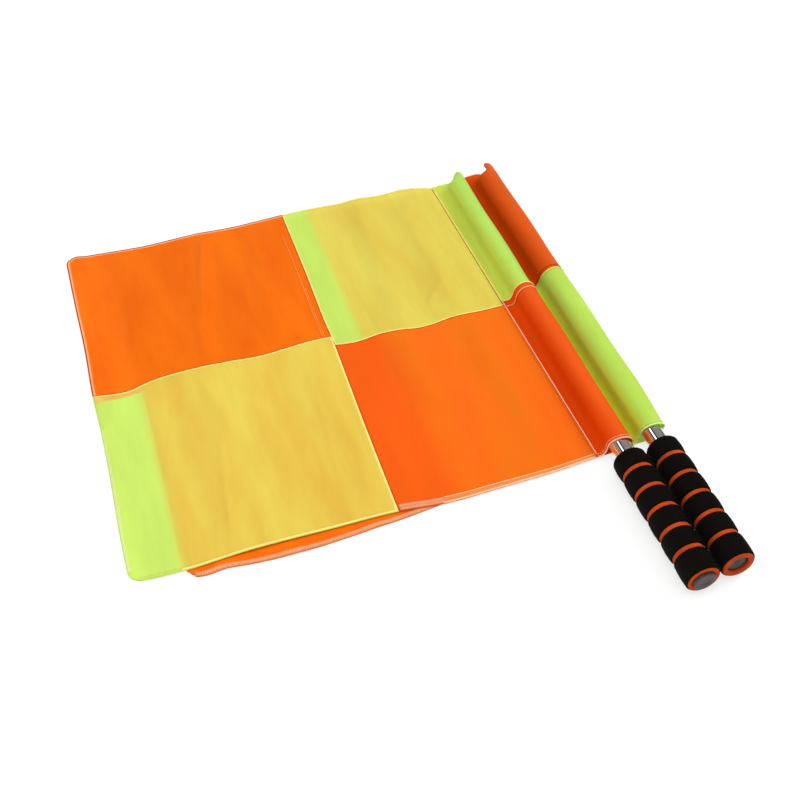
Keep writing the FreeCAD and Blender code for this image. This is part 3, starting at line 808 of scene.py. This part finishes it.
def stitches(flag, name, plan, lift, material, width=0.45):
    return sewn(flag, name, stitch_row(*on_field(flag, plan, lift), width=width), material)


def overlocked(flag, name, plan, width, pitch, size, material):
    return sewn(flag, name, zigzag(*on_field(flag, plan, 0.5), width, pitch, size), material)


def band(flag, name, inner, outer, drop, material, nodes=()):
    return sewn(flag, name, sheet_mesh(strip_grid(flag, inner, outer, drop), BAND), material, nodes)


def make_field(flag, looks):
    """The four quarters, and by quarter its hems and seam allowances.

    looks gives the colour and the material of each quarter.
    """
    name, fly_x, seam_x = flag["name"], flag["fly_x"], flag["seam_x"]
    made = {}
    for (half, side), (colour, material) in looks.items():
        shape = sheet_mesh(quarter_grid(flag, side, half), CLOTH)
        made[half, side] = sewn(flag, f"{name}_quarter_{half}_{side}", shape, material,
                                [f"{name}_field_{half}_{side}"])
    far_x, near_x, cross_far_x, cross_near_x = (float(spline(flag["centre_" + half], y)) for half, y in (
        ("far", 330), ("near", 100), ("far", 224), ("near", 214)))
    below = -1 if looks["near", "fly"][0] == "yellow" else 1
    # name, quarter, line, its ends, how far from the line its two edges lie, slot, CAD node
    bands = (
        ("fly_hem_far", ("far", "fly"), "fly", (224, 426), (3.2, 0.4), "hem", "hem_fly"),
        ("fly_hem_near", ("near", "fly"), "fly", (6, 218), (3.2, 0.4), "hem", None),
        ("near_hem_fly", ("near", "fly"), "near", (fly_x + 9, near_x - 1), (4.2, 0.4), "hem", "hem_near"),
        ("near_hem_hoist", ("near", "hoist"), "near", (near_x + 1, seam_x - 1), (8.0, 0.4), "hem", None),
        ("far_hem_fly", ("far", "fly"), "far", (fly_x + 9, far_x - 1), (-3.2, -0.4), "hem", "hem_far"),
        ("far_hem_hoist", ("far", "hoist"), "far", (far_x + 1, seam_x - 1), (-3.2, -0.4), "hem", None),
        ("centre_allowance_far", ("far", "fly"), "centre_far", (224, 428), (-0.3, -7.0), "cloth_orange",
         "seam_centre"),
        ("centre_allowance_near", ("near", "fly"), "centre_near", (3, 214), (-0.3, -5.5), "cloth_yellow",
         None),
        ("cross_allowance_fly", ("near", "fly"), "cross_fly", (fly_x + 9, cross_near_x - 2),
         (0.3 * below, 7.5 * below), "cloth_orange", "seam_cross_fly"),
        ("cross_allowance_hoist", ("far", "hoist"), "cross_hoist", (cross_far_x + 3, seam_x - 2),
         (-0.3 * below, -7.5 * below), "cloth_yellow", "seam_cross_hoist"),
    )
    extras = {key: [] for key in QUARTERS}
    for part, key, line, (start, end), edges, slot, stands_for in bands:
        run = run_y if line in ("fly", "centre_far", "centre_near") else run_x
        inner, outer = (run(flag[line], start, end, offset) for offset in edges)
        material = cloth_orange if part == "cross_allowance_fly" else HEM_CLOTH[looks[key][0]]
        nodes = [f"{name}_{stands_for}"] if stands_for else []
        extras[key].append(band(flag, f"{name}_{part}", inner, outer, CLOTH + 0.12, material, nodes))
    return made, [extras[key] for key in QUARTERS]


upper_quarters, upper_extras = make_field(UPPER, {
    ("far", "fly"): ("orange", cloth_orange), ("far", "hoist"): ("yellow", cloth_yellow_far),
    ("near", "fly"): ("yellow", cloth_yellow_near), ("near", "hoist"): ("orange", cloth_orange_near)})
lower_quarters, lower_extras = make_field(LOWER, {
    ("far", "fly"): ("yellow", cloth_yellow), ("far", "hoist"): ("orange", cloth_orange),
    ("near", "fly"): ("orange", cloth_orange), ("near", "hoist"): ("yellow", cloth_yellow)})


# Trim of the fields

# A dark cord of painted shadow on the orange side of a seam, where the cloth steps down from the yellow side.
def groove_and_shadow(flag, name, plan):
    trim(flag, name, plan, -0.06, 0.7, 0.34, painted_shadow_orange, "cloth_orange")


def lines_of(flag, far_side):
    """Pale cord on the yellow side of every join, and a dark cord of painted shadow on its orange side."""
    name = flag["name"]
    far_low, near_high = flag["jog"]
    far_x, near_x = float(spline(flag["centre_far"], 224)), float(spline(flag["centre_near"], 216))
    far_top = float(spline(flag["far"], far_x)) - 1.2
    near_low = float(spline(flag["near"], near_x)) + 2.2
    fly_end, hoist_start = (near_x, far_x) if far_side > 0 else (far_x, near_x)
    # plan line, the way to its yellow side and the width of its cord
    joins = {
        "centre_far": (run_y(flag["centre_far"], far_low, far_top), (far_side, 0), 1.7),
        "centre_near": (run_y(flag["centre_near"], near_low, near_high), (-far_side, 0), 2.3),
        "cross_fly": (run_x(flag["cross_fly"], flag["fly_x"] + 1, fly_end), (0, -far_side), 2.2),
        "cross_hoist": (run_x(flag["cross_hoist"], hoist_start, flag["seam_x"] - 0.5), (0, far_side), 1.7),
    }
    for key, (plan, way, width) in joins.items():
        way = np.array(way, float)
        trim(flag, f"{name}_binding_{key}", plan + way * width / 2, 0.02, width, 0.42, pale_yellow,
             "cloth_yellow")
        groove_and_shadow(flag, f"{name}_groove_{key}", plan - way * 0.45)


lines_of(UPPER, 1)
lines_of(LOWER, -1)
groove_and_shadow(LOWER, "lower_seam_shadow_centre", run_x(LOWER["cross_hoist"], 256, 276, 1.0))

# Stitches beside the joins and along the hems of the upper field
for part, plan, lift, material, width in (
        ("centre_far", run_y(UPPER["centre_far"], 225, 400, -7.8), 0.18, thread_orange, 1.0),
        ("centre_far_second", run_y(UPPER["centre_far"], 225, 305, -6.0), 0.12, thread_orange, 0.7),
        ("cross_fly", run_x(UPPER["cross_fly"], 4, 231, -1.6), 0.2, pale_yellow, 0.45),
        ("cross_hoist", run_x(UPPER["cross_hoist"], 236, 410, 1.4), 0.2, pale_yellow, 0.45),
        ("far_fly", run_x(UPPER["far"], 9, 235, -3.4), 0.08, thread_orange, 0.45),
        ("far_hoist", run_x(UPPER["far"], 238, 411, -2.8), 0.08, pale_yellow, 0.45),
        ("fly_far", run_y(UPPER["fly"], 222, 426, 4.0), 0.08, thread_orange, 0.45),
        ("near_fly", run_x(UPPER["near"], 9, 225, 3.9), 0.08, pale_yellow, 0.45)):
    stitches(UPPER, "upper_stitch_" + part, plan, lift, material, width)


def border(half, inset):
    """The free edge of an upper fly quarter round its corner, moved inward."""
    grid = quarter_grid(UPPER, "fly", half)[:, :, :2]
    rows = (grid[0, :], grid[1:, -1]) if half == "far" else (grid[0, ::-1], grid[1:, 0])
    line = rounded(np.concatenate(rows), 260, 1)
    way = unit(np.gradient(line, axis=0))
    inward = inset if half == "far" else -inset
    return line + np.column_stack([way[:, 1], -way[:, 0]]) * inward


# Rolled and cut edges of both fields, with cords of painted shade at the upper far fold and the lower near
# fly edge: flag, name, line, lift, width, height, material
for flag, part, plan, lift, width, height, material in (
        (UPPER, "far_quarter", border("far", 2.1), 0.05, 2.0, 0.6, edge_pink),
        (UPPER, "far_fold_shadow", border("far", 0.45), 0.15, 0.8, 0.8, painted_shadow_orange),
        (UPPER, "near_quarter", border("near", 0.5), -0.1, 1.2, 0.8, cloth_yellow),
        (UPPER, "far_hoist", run_x(UPPER["far"], 236, 412, -0.6), -0.1, 1.8, 0.8, pale_yellow),
        (UPPER, "near_fly", run_x(UPPER["near"], 42, 226, 1.6), -0.1, 2.6, 0.8, pale_yellow),
        (LOWER, "near_fly", run_x(LOWER["near"], 52, 262, 0.3), -0.1, 0.9, 0.8, seam_shade),
        (LOWER, "fly_near", run_y(LOWER["fly"], -8, 216, 0.7), -0.1, 1.5, 0.8, edge_orange),
        (LOWER, "fly_far", run_y(LOWER["fly"], 224, 420, 0.7), -0.1, 1.5, 0.8, pale_yellow),
        (LOWER, "near_hoist", run_x(LOWER["near"], 268, 448, 0.9), -0.1, 1.5, 0.8, pale_yellow),
        (LOWER, "far_fly", run_x(LOWER["far"], 54, 262, -0.6), -0.1, 1.5, 0.8, pale_yellow),
        (LOWER, "far_hoist", run_x(LOWER["far"], 266, 448, -0.6), -0.1, 1.5, 0.8, edge_orange)):
    trim(flag, f"{flag['name']}_edge_{part}", plan, lift, width, height, material)

# The lower flag's near edge is overlocked
edge = LOWER["near"]
lower_extras[1].append(band(LOWER, "lower_overlocked_edge", run_x(edge, 52, 262, 4.8),
                            run_x(edge, 52, 262, 0.4), -0.36, overlock_cloth))
overlocked(LOWER, "lower_overlock_near", run_x(edge, 53, 262, 2.6), 4.2, 2.1, 0.62, overlock)

# The near hem of the upper orange quarter is turned up over the field and overlocked at its fly end
HEM_TURN = [(228, 7.4), (268, 7.2), (300, 6.4), (350, 5.4), (412, 4.2)]  # its width along X


def turned_line(x0, x1, share, offset=0.0):
    """A line along the turned hem, at a share of its width from the outer edge."""
    line = run_x(UPPER["near"], x0, x1)
    line[:, 1] += 0.2 + share * spline(HEM_TURN, line[:, 0]) + offset
    return line


upper_extras[3].append(band(UPPER, "upper_turned_hem", turned_line(228.4, 411.5, 1.0),
                            turned_line(228.4, 411.5, 0.0), -0.42, hem_peach))
# The line and outer cords are painted shade along the turned hem.
for part, plan, lift, width, height, material in (
        ("fold", turned_line(268, 411, 0.92), 0.42, 1.1, 0.5, fold_peach),
        ("edge", turned_line(266, 411, 0.12), 0.42, 1.9, 0.5, edge_peach),
        ("line", turned_line(229, 411, 1.0, 0.6), 0.02, 0.7, 0.34, seam_shade),
        ("outer", turned_line(229, 268, 0.0, 0.2), 0.3, 0.8, 0.5, seam_shade)):
    trim(UPPER, "upper_turned_hem_" + part, plan, lift, width, height, material)
for percent in (30, 72):
    overlocked(UPPER, f"upper_zigzag_near_hoist_{percent}", turned_line(229, 268, percent / 100), 2.9, 1.9,
               0.6, rim_pink)
stitches(UPPER, "upper_turned_hem_stitch", turned_line(270, 410, 0.55), 0.5, thread_orange)


# Sleeves

def make_sleeve(flag, looks):
    """Both halves of a sleeve from (material, slot) pairs, and the points of their outer surfaces. The slot
    of each pair is not used.
    """
    name = flag["name"]
    grids = (sleeve_grid(flag, flag["mouth_y"], flag["join_y"]),
             sleeve_grid(flag, flag["join_y"] - 0.4, flag["last_y"]))
    made = []
    for half, grid, (material, slot) in zip(("near", "far"), grids, looks):
        made.append(sewn(flag, f"{name}_sleeve_cloth_{half}", sheet_mesh(grid, CLOTH), material,
                         [f"{name}_sleeve_{half}"]))
    return *grids, made


upper_near, upper_far, upper_sleeves = make_sleeve(UPPER, (
    (sleeve_orange, "cloth_orange"), (sleeve_yellow, "cloth_yellow")))
lower_near, lower_far, lower_sleeves = make_sleeve(LOWER, (
    (sleeve_yellow_low, "cloth_yellow"), (sleeve_orange_low, "cloth_orange")))


def round_line(flag, name, grid, y, lift, width, height, material):
    """A cord over the sleeve at a station."""
    return cord(flag, name, *sleeve_line(grid, y, lift), width, height, material)


def long_line(name, grid, first, last, lift, width, material):
    """A cord along the upper sleeve, beside its seam."""
    beside = 1  # the row of the section that it follows
    normals = grid_normals(grid)[beside, first:last]
    return cord(UPPER, name, grid[beside, first:last] + normals * lift, normals, width, 0.5, material)


# The raised strip of the second colour at the upper sleeve's joint
STRIP_Y = 212.8  # where it starts
strip_start = int(np.argmin(np.abs(upper_near[SECTION // 3, :, 1] - STRIP_Y)))
strip = upper_near[2:int(0.66 * SECTION), strip_start:]
shape = sheet_mesh(strip + grid_normals(strip) * 0.75, 0.5)
upper_extras[3].append(sewn(UPPER, "upper_sleeve_join_strip", shape, sleeve_orange))
round_line(UPPER, "upper_sleeve_join_far", upper_near, 223.4, 0.85, 1.7, 1.0, pale_yellow)
round_line(UPPER, "upper_sleeve_join_near", upper_near, 212.4, 0.5, 1.5, 0.9, pale_pink)
round_line(LOWER, "lower_sleeve_join", lower_near, 233.6, 0.3, 1.8, 0.7, pale_yellow)
# A dark cord of painted shadow where the lower sleeve's colours join.
round_line(LOWER, "lower_sleeve_join_shadow", lower_far, 236.2, 0.1, 1.0, 0.5, painted_shadow_orange)

# Far ends: a turned rim on the open edge of the sleeve
for flag, grid, material in ((UPPER, upper_far, edge_lime), (LOWER, lower_far, edge_orange)):
    span = slice(1, SECTION - 1)
    normals = grid_normals(grid)[span, -2]
    cord(flag, flag["name"] + "_far_end_rim", grid[span, -1] - normals * 0.15, normals, 1.5, 0.75, material)

# Mouths: a folded rim and a row of stitches
for flag, grid, material in ((UPPER, upper_near, rim_pink), (LOWER, lower_near, rim_lime)):
    name = flag["name"]
    span = slice(1, int(0.72 * SECTION))
    normals = grid_normals(grid)[span]
    cord(flag, name + "_mouth_rim", grid[span, 0], normals[:, 0], 1.5, 1.2, material)
    ahead = grid[span, 0] * 0.1 + grid[span, 1] * 0.9 + normals[:, 1] * 0.12
    row = stitch_row(ahead, normals[:, 1], pitch=2.3, length=2.1, width=0.9, height=0.4)
    sewn(flag, name + "_mouth_stitch", row, material)

# Seam of the upper sleeve on the field
long_line("upper_hoist_binding_far", upper_far, 0, -1, 0.2, 1.3, pale_yellow)
long_line("upper_hoist_stitch_near", upper_near, 1, None, 0.25, 1.2, rim_pink)
# Beside the upper sleeve's seam, a dark cord of painted shadow on the far half and a redder cord of painted
# shade on the near half.
for part, x, y0, y1, lift, height, material in (
        ("shadow_far", 411.4, 218, 434, 0.0, 0.4, painted_shadow_orange),
        ("second_near", 410.3, 2, 217, 0.02, 0.34, seam_shade)):
    plan = np.array([(x, y) for y in np.arange(y0, y1, LINE_STEP)])
    trim(UPPER, "upper_hoist_" + part, plan, lift, 0.6, height, material)


# Grips, plugs and tubes

GRIP = 135.0
GROOVE_WIDTH = 3.4
GROOVES = [24.6 + 22.5 * i - GROOVE_WIDTH / 2 for i in range(5)]
BAND_RADIUS = 14.9
BAND_INSIDE = 12.6
BAND_EDGE = 2.1  # the rounding of a band's edges
SHOULDER = 3.6  # the longer edge of the last band, at the end towards the cloth
CROWN = 0.4  # by which the middle of a band swells
CORE_RADIUS = 13.6  # of the orange foam in the grooves
BUTT_ROUND = 1.0  # the rounding of the butt ring's outer edge
PLUG_SHANK = 8.7  # radius of the plug inside the tube


def arc(radius, place, size, start, end, count):
    """A quarter round of a profile: its corner is size inward of the radius, beside the place."""
    return [(radius - abs(size) + abs(size) * math.sin(a), place + size - size * math.cos(a))
            for a in np.linspace(start, end, count)]


def foam_band(start, end, last):
    """Closed profile of one black foam ring in (radius, place) points."""
    far_edge = SHOULDER if last else BAND_EDGE
    span = end - far_edge - (start + BAND_EDGE)
    points = [(BAND_INSIDE, start + 0.2)] + arc(BAND_RADIUS, start, BAND_EDGE, 0, math.pi / 2, 7)
    for t in np.linspace(0.12, 0.88, 6):
        points.append((BAND_RADIUS + CROWN * math.sin(math.pi * t), start + BAND_EDGE + span * t))
    points += arc(BAND_RADIUS, end, -far_edge, math.pi / 2, 0, 7)
    return points + [(BAND_INSIDE, end - 0.2), points[0]]


def make_grip(name, face, ring, plug):
    """Foam grip and butt plug: place of the plug's face, and radii of the butt opening and the plug."""
    body = name + "_pole"
    starts = [0.6] + [groove_and_shadow + GROOVE_WIDTH for groove_and_shadow in GROOVES]
    ends = GROOVES + [GRIP]
    rings = join_meshes([revolve(foam_band(start, end, end == GRIP), name, wobble=0.06)
                         for start, end in zip(starts, ends)])
    foam = add_mesh(name + "_grip_foam", rings, foam_black, body, [name + "_grip_bands"])
    core = [(ring + 0.5, 0.0)] + arc(CORE_RADIUS, 0.0, BUTT_ROUND, 0, math.pi / 2, 5)
    for groove_and_shadow in GROOVES:
        core += [(CORE_RADIUS - 0.15, groove_and_shadow - 0.3), (CORE_RADIUS, groove_and_shadow + 0.3),
                 (CORE_RADIUS + 0.25, groove_and_shadow + GROOVE_WIDTH / 2),
                 (CORE_RADIUS, groove_and_shadow + GROOVE_WIDTH - 0.3),
                 (CORE_RADIUS - 0.15, groove_and_shadow + GROOVE_WIDTH + 0.3)]
    core += [(13.0, GRIP - 3.5), (9.8, GRIP - 0.6), (9.7, 4.4), (ring, 4.4), (ring, 0.6), (ring + 0.5, 0.0)]
    inner = add_mesh(name + "_grip_inner", revolve(core, name), foam_orange, body,
                     [name + "_grip_core"])
    disc = [(0.0, face + 0.35), (plug * 0.36, face + 0.3), (plug * 0.4, face + 0.05), (plug * 0.84, face),
            (plug * 0.93, face + 0.2), (plug * 0.985, face + 0.7), (plug, face + 1.3), (plug, 4.2),
            (PLUG_SHANK, 4.3), (PLUG_SHANK, face + 14), (PLUG_SHANK - 0.5, face + 15), (0.0, face + 15)]
    add_mesh(name + "_plug_moulding", revolve(disc, name), plug_grey, body, [name + "_butt_plug"])


make_grip("upper", -2.0, 9.9, 9.8)
make_grip("lower", 2.4, 9.0, 8.9)
for name in ("upper", "lower"):
    for part, material in (("_pole_tube", chrome), ("_tip_plug", plug_grey)):
        for holder in frame["nodes"][name + part].material_slots:
            holder.material = material


# Light, floor and camera

def blend(tree, factor, first, second):
    """A mix of two shader nodes."""
    return node(tree, "ShaderNodeMixShader", {0: factor, 1: first.outputs[0], 2: second.outputs[0]})


def floor_material():
    """Bright where it is seen or mirrored, plain matt for the light that it throws back."""
    material, tree, out, place = new_material("studio_floor")
    tone, _ = varied(tree, place, (0.86, 0.86, 0.855), 3.0, 0.995, 1.0)
    seen = node(tree, "ShaderNodeLightPath").outputs
    mirrored = combined(tree, "MAXIMUM", seen["Is Camera Ray"], seen["Is Glossy Ray"])
    any_way = combined(tree, "MAXIMUM", mirrored, seen["Is Transmission Ray"])
    matt = node(tree, "ShaderNodeBsdfDiffuse", {"Color": tone})
    faint = node(tree, "ShaderNodeBsdfDiffuse", {"Color": (0.36, 0.36, 0.36, 1)})
    glow = node(tree, "ShaderNodeEmission", {"Color": (1, 1, 0.99, 1), "Strength": 0.68})
    shown = node(tree, "ShaderNodeAddShader", {0: faint.outputs[0], 1: glow.outputs[0]})
    tree.links.new(blend(tree, any_way, matt, shown).outputs[0], out.inputs["Surface"])
    return material


FLOOR_REACH = 2.2  # metres from its middle to its edges
FLOOR_Z = -0.0004  # just under the lowest cloth


def make_floor():
    count = 24
    steps = np.linspace(-FLOOR_REACH, FLOOR_REACH, count)
    verts = [(x, y, FLOOR_Z) for y in steps for x in steps]
    faces = [[r * count + c, r * count + c + 1, (r + 1) * count + c + 1, (r + 1) * count + c]
             for r in range(count - 1) for c in range(count - 1)]
    mesh = bpy.data.meshes.new("studio_floor")
    mesh.from_pydata(verts, [], faces)
    mesh.materials.append(floor_material())
    piece = bpy.data.objects.new("studio_floor", mesh)
    bpy.context.scene.collection.objects.link(piece)


def aimed(thing, place, way):
    """A lamp or camera at a place, looking along a way."""
    thing.location = place
    thing.rotation_euler = Vector(way).to_track_quat("-Z", "Y").to_euler()
    bpy.context.scene.collection.objects.link(thing)


def add_lamp(name, place, size, power, colour):
    """A round soft lamp over the floor, aimed at the middle of the pair."""
    data = bpy.data.lights.new(name, "AREA")
    data.shape = "DISK"
    data.size = size
    data.energy = power
    data.color = colour
    lamp = bpy.data.objects.new(name, data)
    lamp.visible_glossy = False
    aimed(lamp, place, [-part for part in place])


# What the tubes mirror, by degrees from straight up towards +X
DARK = (0.02, 0.015, 0.015)
WHITE = (2.2, 2.2, 2.2)
BLACK = (0.02, 0.02, 0.02)
MIRRORED = ((-90, (0.42, 0.25, 0.18)), (-52, (0.36, 0.2, 0.14)), (-46, DARK), (-38, DARK), (-35, WHITE),
            (-25, WHITE), (-21, BLACK), (-10, BLACK), (-6, (0.25, 0.22, 0.24)), (50, (0.3, 0.27, 0.28)),
            (90, (0.12, 0.09, 0.085)))


def make_world():
    world = bpy.data.worlds.new("studio")
    bpy.context.scene.world = world
    world.use_nodes = True
    tree = world.node_tree
    tree.nodes.clear()
    seen = node(tree, "ShaderNodeLightPath").outputs
    aim = node(tree, "ShaderNodeTexCoord").outputs["Generated"]
    split = node(tree, "ShaderNodeSeparateXYZ", {"Vector": aim})
    angle = combined(tree, "ARCTAN2", split.outputs["X"], split.outputs["Z"])
    share = ranged(tree, angle, 0.0, 1.0, -math.pi / 2, math.pi / 2)
    ramp = node(tree, "ShaderNodeValToRGB", {"Fac": share})
    elements = ramp.color_ramp.elements
    while len(elements) < len(MIRRORED):
        elements.new(0.5)
    for element, (degrees, colour) in zip(elements, MIRRORED):
        element.position = (degrees + 90) / 180
        element.color = rgba(colour)
    mirrored = node(tree, "ShaderNodeBackground", {"Color": ramp.outputs["Color"], "Strength": 1.0})
    soft = node(tree, "ShaderNodeBackground", {"Color": (0.99, 1.0, 1.0, 1.0), "Strength": 0.85})
    white = node(tree, "ShaderNodeBackground", {"Color": (1, 1, 0.99, 1), "Strength": 1.0})
    lit = blend(tree, seen["Is Glossy Ray"], soft, mirrored)
    whole = blend(tree, seen["Is Camera Ray"], lit, white)
    node(tree, "ShaderNodeOutputWorld", {"Surface": whole.outputs[0]})


make_floor()
add_lamp("key", (1.7, 0.2, 1.7), 0.8, 20.0, (1.0, 0.99, 0.97))
add_lamp("fill", (-0.5, -0.4, 2.3), 1.2, 12.0, (1.0, 1.0, 1.0))
make_world()

# The camera was fitted to the photograph's corners, seams and poles
camera = bpy.data.objects.new("camera", bpy.data.cameras.new("camera"))
camera.data.lens = 49.21
camera.data.sensor_width = 36.0
aimed(camera, (-0.20080, -0.69919, 0.7196), (0.2224, 0.6701, -0.7081))
bpy.context.scene.camera = camera
bpy.context.scene.view_settings.view_transform = "Standard"
